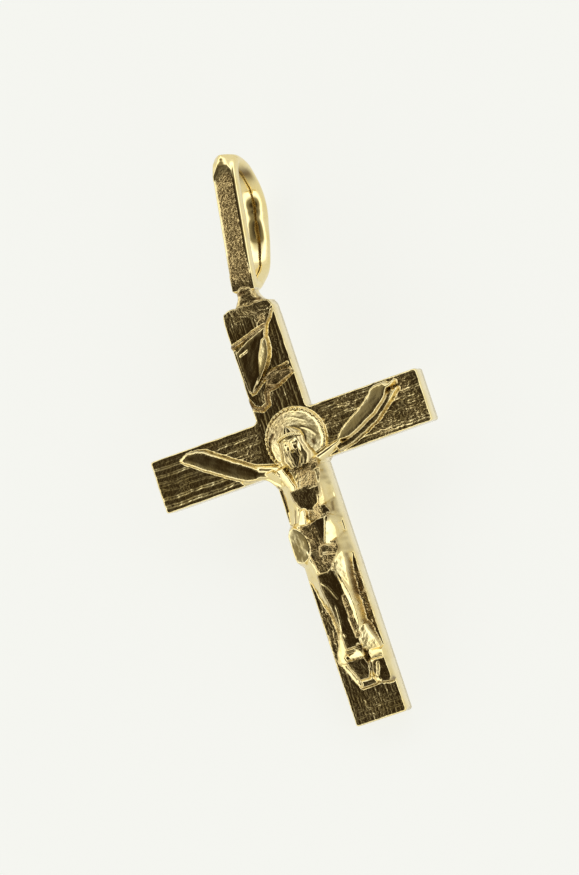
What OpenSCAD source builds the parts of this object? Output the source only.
/* [Cross] */
// Height of the upright, foot to top
cross_h = 18.5; // [16:0.1:24]
// Length of the crossbar
bar_span = 12.5; // [10:0.1:18]
// Width of the upright and of the crossbar
bar_w = 2.32; // [1.9:0.02:3]
// Thickness of the flat bars
plate_t = 1.0; // [0.7:0.05:1.6]
// From the top of the upright down to the crossbar's centre line
crossing_drop = 6.15; // [5.2:0.05:8]
// Radius of the bars' corners
corner_r = 0.12; // [0.05:0.01:0.4]
// Radius of the three small cast fillets where the bars meet
inner_r = 0.22; // [0.08:0.01:0.4]
// Radius of the fuller fillet under the figure's arm, at the viewer's left
web_r = 0.6; // [0.2:0.05:1]
// Bevel along the back edge of the foot, which the cross lies on
foot_bevel = 0.16; // [0.06:0.01:0.4]

/* [Bail] */
// Height of the loop above its seat
loop_h = 6.1; // [4.8:0.05:8]
// Depth of the loop, front to back
loop_d = 3.75; // [3:0.05:4.4]
// Width of the loop's band
band_w = 1.05; // [0.7:0.05:1.8]
// Thickness of the loop's band
band_t = 0.6; // [0.4:0.05:0.8]
// Lean of the loop towards the viewer's right, in degrees
bail_lean = 9; // [0:0.5:15]
// Offset of the loop and its neck towards the viewer's right
bail_shift = 0.1; // [0:0.02:0.3]
// Width of the neck under the loop
neck_w = 0.8; // [0.5:0.02:1]
// Height of the neck between the cross and the loop
neck_h = 0.4; // [0.3:0.05:1.2]

/* [Figure] */
// Length of bare cross below the toes
toe_gap = 1.5; // [0.5:0.05:3]
// Length of bare crossbar beyond each hand
hand_gap = 1.3; // [0.4:0.05:2.5]
// Highest relief above the cross's front face
relief_h = 1.0; // [0.7:0.05:1.3]
// Offset of the figure's centre line towards the viewer's right
figure_shift = 0.2; // [0:0.02:0.35]

/* [Halo] */
// Outer diameter of the halo, over its beads
halo_d = 2.76; // [2.3:0.02:3.2]
// Height of the halo's disc above the cross
halo_h = 0.26; // [0.15:0.01:0.45]
// Number of beads round the rim
halo_beads = 40; // [20:2:44]

/* [Scroll] */
// Distance from the top of the upright down to the bare scroll
scroll_gap = 1.05; // [0.5:0.05:1.6]
// Height of the scroll's panel above the cross
scroll_t = 0.3; // [0.18:0.01:0.5]

/* [Hidden] */
GOLD = [0.83, 0.66, 0.34];
fine = 48; // segments of the round bail and corners
ring_steps = 8; // segments across an arm's rounded back
columns = 22; // columns of the body's skin, edge to edge
head_step = 0.085; // distance between the skin's rows on the head
body_step = 0.19; // distance between its rows below the head
scroll_step = 0.14; // distance between the scroll's rows
root = 0.3 * plate_t; // how far the cast forms reach down into the bars
foot_y = cross_h - crossing_drop; // from the crossbar's centre line down to the foot
figure_h = foot_y - toe_gap; // from the crossbar's centre line down to the toes
half_span = bar_span / 2 - hand_gap;
halo_shift = 0.05 * bar_w; // from the figure's centre line to the halo's centre
scroll_low = halo_d / 2 + 0.3; // bare ground between the halo's rim and the scroll
scroll_h = crossing_drop - scroll_gap - scroll_low;
ROUND = 1; // backs of limbs: fully rounded, or polished flat along the top
POLISHED = 1.2;
skin_edge = 0.08 * relief_h; // height of the relief at its outline

// The bail's four guiding circles, as seen from its side: up, back and radius
loop_low_r = band_t + 0.04 * loop_d;
loop_top_r = 0.26 * loop_d;
loop_back_r = 0.43 * loop_d;
loop_heel_r = 0.32 * loop_d;
LOOP = [
  [loop_low_r, -loop_low_r, loop_low_r],
  [loop_h - loop_top_r, -loop_top_r, loop_top_r],
  [0.6 * loop_h, loop_back_r - loop_d, loop_back_r],
  [0.285 * loop_h, -0.47 * loop_d, loop_heel_r]
];
loop_seat = crossing_drop + neck_h;

// How the pendant lies: the foot's back edge and the bail's back bear on the ground
heel_y = foot_bevel - foot_y;
back_y = loop_seat + LOOP[2][0] * cos(bail_lean) - band_w / 2 * sin(bail_lean);
back_z = plate_t + LOOP[2][1];
bearing = norm([back_y - heel_y, back_z]);
rest_tilt = asin(loop_back_r / bearing) - atan2(back_z, back_y - heel_y);
top_y = loop_seat + LOOP[1][0] * cos(bail_lean) + band_w / 2 * sin(bail_lean);
top_z = plate_t + LOOP[1][1];
top_reach = loop_top_r * norm([cos(bail_lean) * cos(rest_tilt), sin(rest_tilt)]);
high_end = top_y * cos(rest_tilt) - top_z * sin(rest_tilt) + top_reach;
low_end = -foot_y * cos(rest_tilt) - plate_t * sin(rest_tilt);

// Columns of the figure's sections: how far down it (share of figure_h), centre to the side and
// half width (shares of bar_w), height of the relief (share of relief_h)
DOWN = 0;
SIDE = 1;
HALF = 2;
TOP = 3;
// Columns of the outline: how far down, left edge, right edge (shares as in the sections)
OUTLINE = [
  [-0.066, -0.10, 0.10],
  [-0.050, -0.24, 0.24],
  [-0.020, -0.33, 0.33],
  [0.060, -0.38, 0.38],
  [0.108, -0.40, 0.38],
  [0.150, -0.39, 0.36],
  [0.205, -0.38, 0.31],
  [0.290, -0.37, 0.24],
  [0.335, -0.47, 0.33],
  [0.395, -0.58, 0.37],
  [0.430, -0.59, 0.35],
  [0.500, -0.54, 0.34],
  [0.610, -0.44, 0.34],
  [0.735, -0.34, 0.31],
  [0.820, -0.31, 0.29],
  [0.865, -0.42, 0.42],
  [0.900, -0.42, 0.42],
  [1.010, -0.20, 0.22]
];
TORSO = [
  [0.080, 0.00, 0.15, 0.62],
  [0.108, -0.01, 0.34, 0.70],
  [0.150, -0.02, 0.36, 0.84],
  [0.205, -0.04, 0.33, 0.90],
  [0.250, -0.06, 0.29, 0.82],
  [0.290, -0.08, 0.28, 0.76],
  [0.335, -0.12, 0.35, 0.82],
  [0.395, -0.14, 0.42, 0.88]
];
LOINCLOTH = [
  [0.325, -0.12, 0.36, 0.84],
  [0.370, -0.14, 0.43, 0.90],
  [0.430, -0.14, 0.45, 0.94],
  [0.500, -0.12, 0.42, 0.90],
  [0.555, -0.12, 0.33, 0.82]
];
CLOTH_FOLDS = [
  [[0.350, 0.20, 0.05, 0.92], [0.420, 0.02, 0.05, 0.98], [0.520, -0.14, 0.03, 0.90]],
  [[0.365, -0.42, 0.05, 0.86], [0.440, -0.26, 0.05, 0.97], [0.530, -0.17, 0.03, 0.88]],
  [[0.330, 0.27, 0.07, 0.90], [0.400, 0.28, 0.09, 0.95], [0.500, 0.20, 0.03, 0.86]],
  [[0.337, -0.43, 0.04, 0.84], [0.352, -0.10, 0.04, 0.94], [0.340, 0.14, 0.04, 0.91]]
];
LEFT_LEG = [
  [0.460, -0.29, 0.19, 0.84],
  [0.530, -0.27, 0.20, 0.86],
  [0.610, -0.24, 0.19, 0.88],
  [0.665, -0.21, 0.18, 0.90],
  [0.735, -0.17, 0.16, 0.78],
  [0.800, -0.15, 0.13, 0.66],
  [0.860, -0.18, 0.13, 0.58]
];
RIGHT_LEG = [
  [0.460, 0.11, 0.19, 0.84],
  [0.530, 0.12, 0.20, 0.86],
  [0.610, 0.13, 0.19, 0.88],
  [0.665, 0.14, 0.18, 0.90],
  [0.735, 0.14, 0.16, 0.78],
  [0.800, 0.13, 0.13, 0.66],
  [0.860, 0.16, 0.13, 0.58]
];
LEFT_FOOT = [
  [0.835, -0.17, 0.11, 0.56],
  [0.865, -0.22, 0.15, 0.62],
  [0.905, -0.19, 0.16, 0.60],
  [0.950, -0.14, 0.14, 0.52],
  [1.000, -0.08, 0.08, 0.42]
];
RIGHT_FOOT = [
  [0.835, 0.15, 0.11, 0.56],
  [0.865, 0.21, 0.15, 0.62],
  [0.905, 0.19, 0.16, 0.60],
  [0.950, 0.15, 0.14, 0.52],
  [1.000, 0.09, 0.08, 0.42]
];
FOOTREST = [[0.890, 0.00, 0.42, 0.36], [0.940, 0.00, 0.34, 0.36], [0.980, 0.00, 0.24, 0.34]];
SKULL = [
  [-0.060, 0.00, 0.09, 0.60],
  [-0.045, 0.00, 0.16, 0.76],
  [-0.020, 0.00, 0.20, 0.86],
  [0.010, 0.00, 0.20, 0.88],
  [0.040, 0.00, 0.18, 0.86],
  [0.065, 0.00, 0.14, 0.84]
];
BEARD = [
  [0.045, 0.00, 0.16, 0.78],
  [0.065, 0.00, 0.15, 0.86],
  [0.085, 0.00, 0.12, 0.88],
  [0.115, 0.00, 0.04, 0.80]
];
NOSE = [
  [0.000, 0.00, 0.025, 0.89],
  [0.028, 0.00, 0.035, 1.00],
  [0.036, 0.00, 0.045, 0.90]
];
BROW = [[0.002, 0.02, 0.025, 0.91], [-0.006, 0.09, 0.025, 0.92], [0.004, 0.17, 0.020, 0.84]];
EYELID = [[0.012, 0.04, 0.018, 0.88], [0.009, 0.09, 0.022, 0.90], [0.013, 0.14, 0.018, 0.85]];
MOUSTACHE = [[0.044, 0.00, 0.022, 0.93], [0.048, 0.07, 0.024, 0.91], [0.062, 0.13, 0.015, 0.85]];
LIP = [[0.054, -0.05, 0.014, 0.91], [0.056, 0.00, 0.020, 0.93], [0.054, 0.05, 0.014, 0.91]];
CIRCLET = [[-0.024, -0.24, 0.05, 0.76], [-0.040, 0.00, 0.05, 0.90], [-0.024, 0.24, 0.05, 0.76]];
HAIR = [
  [-0.045, 0.13, 0.07, 0.70],
  [-0.010, 0.24, 0.08, 0.78],
  [0.050, 0.28, 0.08, 0.74],
  [0.100, 0.27, 0.08, 0.74],
  [0.150, 0.26, 0.04, 0.78]
];

// Columns of the arms' sections: out along the crossbar (share of half_span), up from its centre
// line and half width (shares of bar_w), height of the relief (share of relief_h)
OUT = 0;
UP = 1;
LEFT_ARM = [
  [-0.020, -0.52, 0.18, 0.66],
  [-0.260, -0.43, 0.18, 0.62],
  [-0.440, -0.29, 0.15, 0.58],
  [-0.620, -0.07, 0.16, 0.56],
  [-0.760, 0.11, 0.15, 0.52],
  [-0.860, 0.24, 0.12, 0.48],
  [-0.930, 0.31, 0.12, 0.46],
  [-1.000, 0.37, 0.04, 0.38]
];
RIGHT_ARM = [
  [0.020, -0.52, 0.18, 0.66],
  [0.260, -0.40, 0.18, 0.62],
  [0.440, -0.23, 0.16, 0.58],
  [0.620, -0.05, 0.17, 0.56],
  [0.770, 0.12, 0.15, 0.52],
  [0.860, 0.24, 0.12, 0.48],
  [0.940, 0.33, 0.14, 0.44],
  [1.000, 0.40, 0.06, 0.36]
];

// Columns of the scroll's strips: across (share of bar_w), up from its foot and half width
// (shares of scroll_h), height (share of scroll_t)
SCROLL_STRIPS = [
  [[-0.36, 0.22, 0.03, 0.9], [-0.10, 0.46, 0.06, 1.2], [0.12, 0.72, 0.06, 1.2], [0.24, 0.95, 0.03, 1.1]],
  [[-0.45, 0.82, 0.04, 1.1], [-0.10, 0.89, 0.04, 1.2], [0.26, 0.96, 0.04, 1.1]],
  [[-0.16, 0.26, 0.04, 0.9], [0.05, 0.39, 0.04, 1.1], [0.44, 0.43, 0.04, 0.9]],
  [[-0.06, 0.23, 0.09, 0.6], [0.12, 0.30, 0.09, 0.7], [0.44, 0.34, 0.09, 0.6]],
  [[-0.38, 0.12, 0.09, 1.0], [-0.24, 0.09, 0.09, 1.1], [-0.10, 0.13, 0.07, 0.9]]
];
// Outline of the scroll: up from its foot (share of scroll_h), left and right edge (shares of bar_w)
SCROLL_OUTLINE = [
  [0.00, -0.38, -0.08],
  [0.10, -0.44, -0.02],
  [0.20, -0.45, 0.43],
  [0.84, -0.45, 0.44],
  [0.88, -0.40, 0.44],
  [1.00, 0.16, 0.42]
];

// Columns of the polishing cuts: place as in the figure's sections, height of the cut (share of
// relief_h), the plane's rise to the side and down the figure, and its reach (share of bar_w)
CUTS = [
  [0.390, -0.54, 0.80, 0.36, 0.05, 0.30],
  [0.375, 0.28, 0.90, -0.30, 0.10, 0.14],
  [0.610, -0.26, 0.82, 0.25, 0.02, 0.30],
  [0.610, 0.20, 0.82, -0.25, 0.02, 0.30],
  [0.925, -0.18, 0.52, 0.15, -0.22, 0.20],
  [0.925, 0.20, 0.52, -0.15, -0.22, 0.20]
];
HEIGHT = 2;
RISE_SIDE = 3;
RISE_DOWN = 4;
REACH = 5;

// The figure's forms in millimetres: rows of [x, y, half width, height], and how flat their backs are
function placed(rows, side = 1) = [
  for (r = rows)
    [figure_shift + side * r[SIDE] * bar_w, -r[DOWN] * figure_h, r[HALF] * bar_w, r[TOP] * relief_h]
];
HEAD_FORMS = [
  [placed(SKULL), ROUND],
  [placed(BEARD), ROUND],
  [placed(NOSE), ROUND],
  [placed(LIP), ROUND],
  [placed(CIRCLET), ROUND],
  for (rows = [BROW, EYELID, MOUSTACHE, HAIR], side = [-1, 1]) [placed(rows, side), ROUND]
];
BODY_FORMS = [
  [placed(TORSO), ROUND],
  [placed(LOINCLOTH), ROUND],
  for (fold = CLOTH_FOLDS) [placed(fold), ROUND],
  for (rows = [LEFT_LEG, RIGHT_LEG, LEFT_FOOT, RIGHT_FOOT, FOOTREST]) [placed(rows), POLISHED]
];
SCROLL_FORMS = [
  for (strip = SCROLL_STRIPS)
    [[for (r = strip) [r[0] * bar_w, r[1] * scroll_h, r[2] * scroll_h, r[3] * scroll_t]], ROUND]
];

// Height at a point of the rounded form between two rows
function mound(p, a, b, swell) =
  let (
    ab = [b.x - a.x, b.y - a.y],
    t = max(0, min(1, ((p.x - a.x) * ab.x + (p.y - a.y) * ab.y) / (ab * ab))),
    half = a[2] + t * (b[2] - a[2]),
    away = norm([p.x - a.x - t * ab.x, p.y - a.y - t * ab.y]) / half
  )
  away < 1 ? (a[3] + t * (b[3] - a[3])) * min(1, swell * pow(1 - away * away, 0.35)) : 0;

function height_over(p, forms) = max([
  for (f = forms, i = [0:len(f[0]) - 2]) mound(p, f[0][i], f[0][i + 1], f[1])
]);

// Plane of a polishing cut at a point, or a height above all relief beyond its reach
function cut_at(p, c) =
  let (d = [p.x - figure_shift - c[SIDE] * bar_w, -p.y - c[DOWN] * figure_h])
    norm(d) < c[REACH] * bar_w
      ? c[HEIGHT] * relief_h + c[RISE_SIDE] * d.x + c[RISE_DOWN] * d.y
      : 2 * relief_h;

function figure_height(p) = max(
  skin_edge,
  height_over(p, HEAD_FORMS),
  min(height_over(p, BODY_FORMS), min([for (c = CUTS) cut_at(p, c)]))
);

// Bare panel of the scroll on the left of its diagonal edge, and a lower ground on the right
function scroll_height(p) =
  let (
    foot = SCROLL_STRIPS[0][0],
    end = SCROLL_STRIPS[0][3],
    along = [(end[0] - foot[0]) * bar_w, (end[1] - foot[1]) * scroll_h],
    off = along.x * (p.y - foot[1] * scroll_h) - along.y * (p.x - foot[0] * bar_w)
  )
  max(height_over(p, SCROLL_FORMS), off > 0 ? 0.85 * scroll_t : 0.4 * scroll_t);

// Points of a skin, row by row: the surface, then the two lower edges
function skin_row(y, left, right, heights) = concat(
  [for (k = [0:columns]) [left + (right - left) * k / columns, y, heights[k]]],
  [[right, y, -root], [left, y, -root]]
);

// A closed skin over rows of points, from its first row to its last
module skin(rows) {
  ring = columns + 3;
  last = len(rows) - 1;
  sides = [
    for (i = [0:last - 1], k = [0:ring - 1])
      let (a = i * ring + k, b = i * ring + (k + 1) % ring)
        each [[a, b, a + ring], [b, b + ring, a + ring]]
  ];
  start = [for (k = [ring - 1:-1:0]) k];
  end = [for (k = [0:ring - 1]) last * ring + k];
  polyhedron([for (r = rows) each r], concat(sides, [start, end]));
}

// Column of a table of outlines at a station, between its rows
function edge(table, at, side) = lookup(at, [for (r = table) [r[0], r[side]]]);

// A section of an arm: its back over a root that reaches down into the bars
function section(p, across, half, top) = concat(
  [[p.x - across.x * half, p.y - across.y * half, -root]],
  [
    for (i = [0:ring_steps])
      let (a = 180 * i / ring_steps, rise = min(1, POLISHED * pow(sin(a), 0.7)))
        [p.x - across.x * half * cos(a), p.y - across.y * half * cos(a), top * rise]
  ],
  [[p.x + across.x * half, p.y + across.y * half, -root]]
);

// Direction of a path at one of its points, from the points beside it
function heading(path, i) =
  let (step = path[min(i + 1, len(path) - 1)] - path[max(i - 1, 0)]) step / norm(step);

// An arm lofted through its sections, which run out along the crossbar
module arm(rows) {
  path = [for (r = rows) [figure_shift / 2 + r[OUT] * half_span, r[UP] * bar_w]];
  ring = ring_steps + 3;
  last = len(path) - 1;
  points = [
    for (i = [0:last])
      let (h = heading(path, i), across = [-h.y, h.x])
        each section(path[i], across, rows[i][HALF] * bar_w, rows[i][TOP] * relief_h)
  ];
  sides = [
    for (i = [0:last - 1], k = [0:ring - 1])
      let (a = i * ring + k, b = i * ring + (k + 1) % ring)
        each [[a, b, a + ring], [b, b + ring, a + ring]]
  ];
  start = [for (k = [ring - 1:-1:0]) k];
  end = [for (k = [0:ring - 1]) last * ring + k];
  polyhedron(points, concat(sides, [start, end]));
}

// Flat outline of one bar with rounded corners
module bar_outline(w, h) {
  square([w - 2 * corner_r, h], center = true);
  square([w, h - 2 * corner_r], center = true);
  for (x = [-1, 1], y = [-1, 1])
    translate([x * (w / 2 - corner_r), y * (h / 2 - corner_r)])
      circle(r = corner_r, $fn = fine);
}

// Fillet of an inner corner, drawn in the first quadrant
module inner_fillet(r) {
  difference() {
    square(r);
    translate([r, r])
      circle(r = r, $fn = fine);
  }
}

// Flat cross: two bars and the fillets where they meet, bevelled along the back of the foot
module cross() {
  difference() {
    linear_extrude(plate_t) {
      bar_outline(bar_span, bar_w);
      translate([0, crossing_drop - cross_h / 2])
        bar_outline(bar_w, cross_h);
      for (quarter = [0:3])
        rotate(90 * quarter)
          translate([bar_w / 2, bar_w / 2])
            inner_fillet(quarter == 2 ? web_r : inner_r);
    }
    translate([0, heel_y, 0])
      rotate([90, 0, 90])
        linear_extrude(2 * bar_w, center = true)
          polygon([[foot_bevel, -foot_bevel], [-2 * foot_bevel, 2 * foot_bevel], [-2 * foot_bevel, -foot_bevel]]);
  }
}

// Two circles and the bar between their outer tangents
module link(a, b) {
  d = [b[0] - a[0], b[1] - a[1]];
  turn = atan2(d.y, d.x);
  open = acos((a[2] - b[2]) / norm(d));
  polygon([
    for (s = [[a, open], [b, open], [b, -open], [a, -open]])
      [s[0][0] + s[0][2] * cos(turn + s[1]), s[0][1] + s[0][2] * sin(turn + s[1])]
  ]);
  for (c = [a, b])
    translate([c[0], c[1]])
      circle(r = c[2], $fn = fine);
}

// The loop seen from its side, drawn inwards by inset: straight in front, full at the back
module loop_outline(inset) {
  rings = [for (c = LOOP) [c[0], c[1], c[2] - inset]];
  for (i = [0:len(rings) - 1])
    link(rings[i], rings[(i + 1) % len(rings)]);
  polygon([for (c = rings) [c[0], c[1]]]);
}

module loop() {
  rotate([90, 0, 90])
    linear_extrude(band_w, center = true)
      difference() {
        loop_outline(0);
        loop_outline(band_t);
      }
}

// Neck that joins the loop to the top of the cross
module neck() {
  neck_d = 0.86 * plate_t;
  translate([-neck_w / 2, crossing_drop - root, 0.96 * plate_t - neck_d])
    cube([neck_w, root + neck_h + band_t / 2, neck_d]);
}

// Fixed bail: the leaning loop on its neck
module bail() {
  translate([bail_shift, 0, 0]) {
    translate([0, loop_seat, plate_t])
      rotate(-bail_lean)
        loop();
    neck();
  }
}

// Halo: a disc with a beaded rim, behind the head
module halo() {
  bead = 0.05 * halo_d;
  steps = 6 * halo_beads;
  translate([figure_shift + halo_shift, 0, -root])
    linear_extrude(halo_h + root)
      polygon([
        for (i = [0:steps - 1])
          let (a = 360 * i / steps, r = halo_d / 2 - bead * pow(sin(a * halo_beads / 2), 2))
            [r * cos(a), r * sin(a)]
      ]);
}

// Stations down the figure: close together on the head, wider on the body
head_end = 0.15 * figure_h;
STATIONS = [
  each [OUTLINE[0][DOWN] * figure_h:head_step:head_end],
  each [head_end + head_step:body_step:OUTLINE[len(OUTLINE) - 1][DOWN] * figure_h]
];

// Head, torso, loincloth, legs, feet and footrest as one skin
module body() {
  skin([
    for (down = STATIONS)
      let (
        left = figure_shift + edge(OUTLINE, down / figure_h, 1) * bar_w,
        right = figure_shift + edge(OUTLINE, down / figure_h, 2) * bar_w,
        heights = [
          for (k = [0:columns]) figure_height([left + (right - left) * k / columns, -down])
        ]
      )
      skin_row(-down, left, right, heights)
  ]);
}

// Bare scroll: a flat panel with raised edges over a curled foot
module scroll() {
  translate([0, scroll_low, 0])
    skin([
      for (up = [scroll_h:-scroll_step:0])
        let (
          left = edge(SCROLL_OUTLINE, up / scroll_h, 1) * bar_w,
          right = edge(SCROLL_OUTLINE, up / scroll_h, 2) * bar_w,
          heights = [
            for (k = [0:columns]) scroll_height([left + (right - left) * k / columns, up])
          ]
        )
        skin_row(up, left, right, heights)
    ]);
}

// The cast relief on the front of the cross, brought to its full depth
module relief() {
  translate([0, 0, plate_t])
    resize([0, 0, relief_h + root]) {
      body();
      arm(LEFT_ARM);
      arm(RIGHT_ARM);
      halo();
      scroll();
    }
}

// The pendant as it lies on its back: cross, bail and relief are one casting
module crucifix() {
  color(GOLD)
    translate([0, -(high_end + low_end) / 2, -heel_y * sin(rest_tilt)])
      rotate([rest_tilt, 0, 0]) {
        cross();
        bail();
        relief();
      }
}

crucifix();
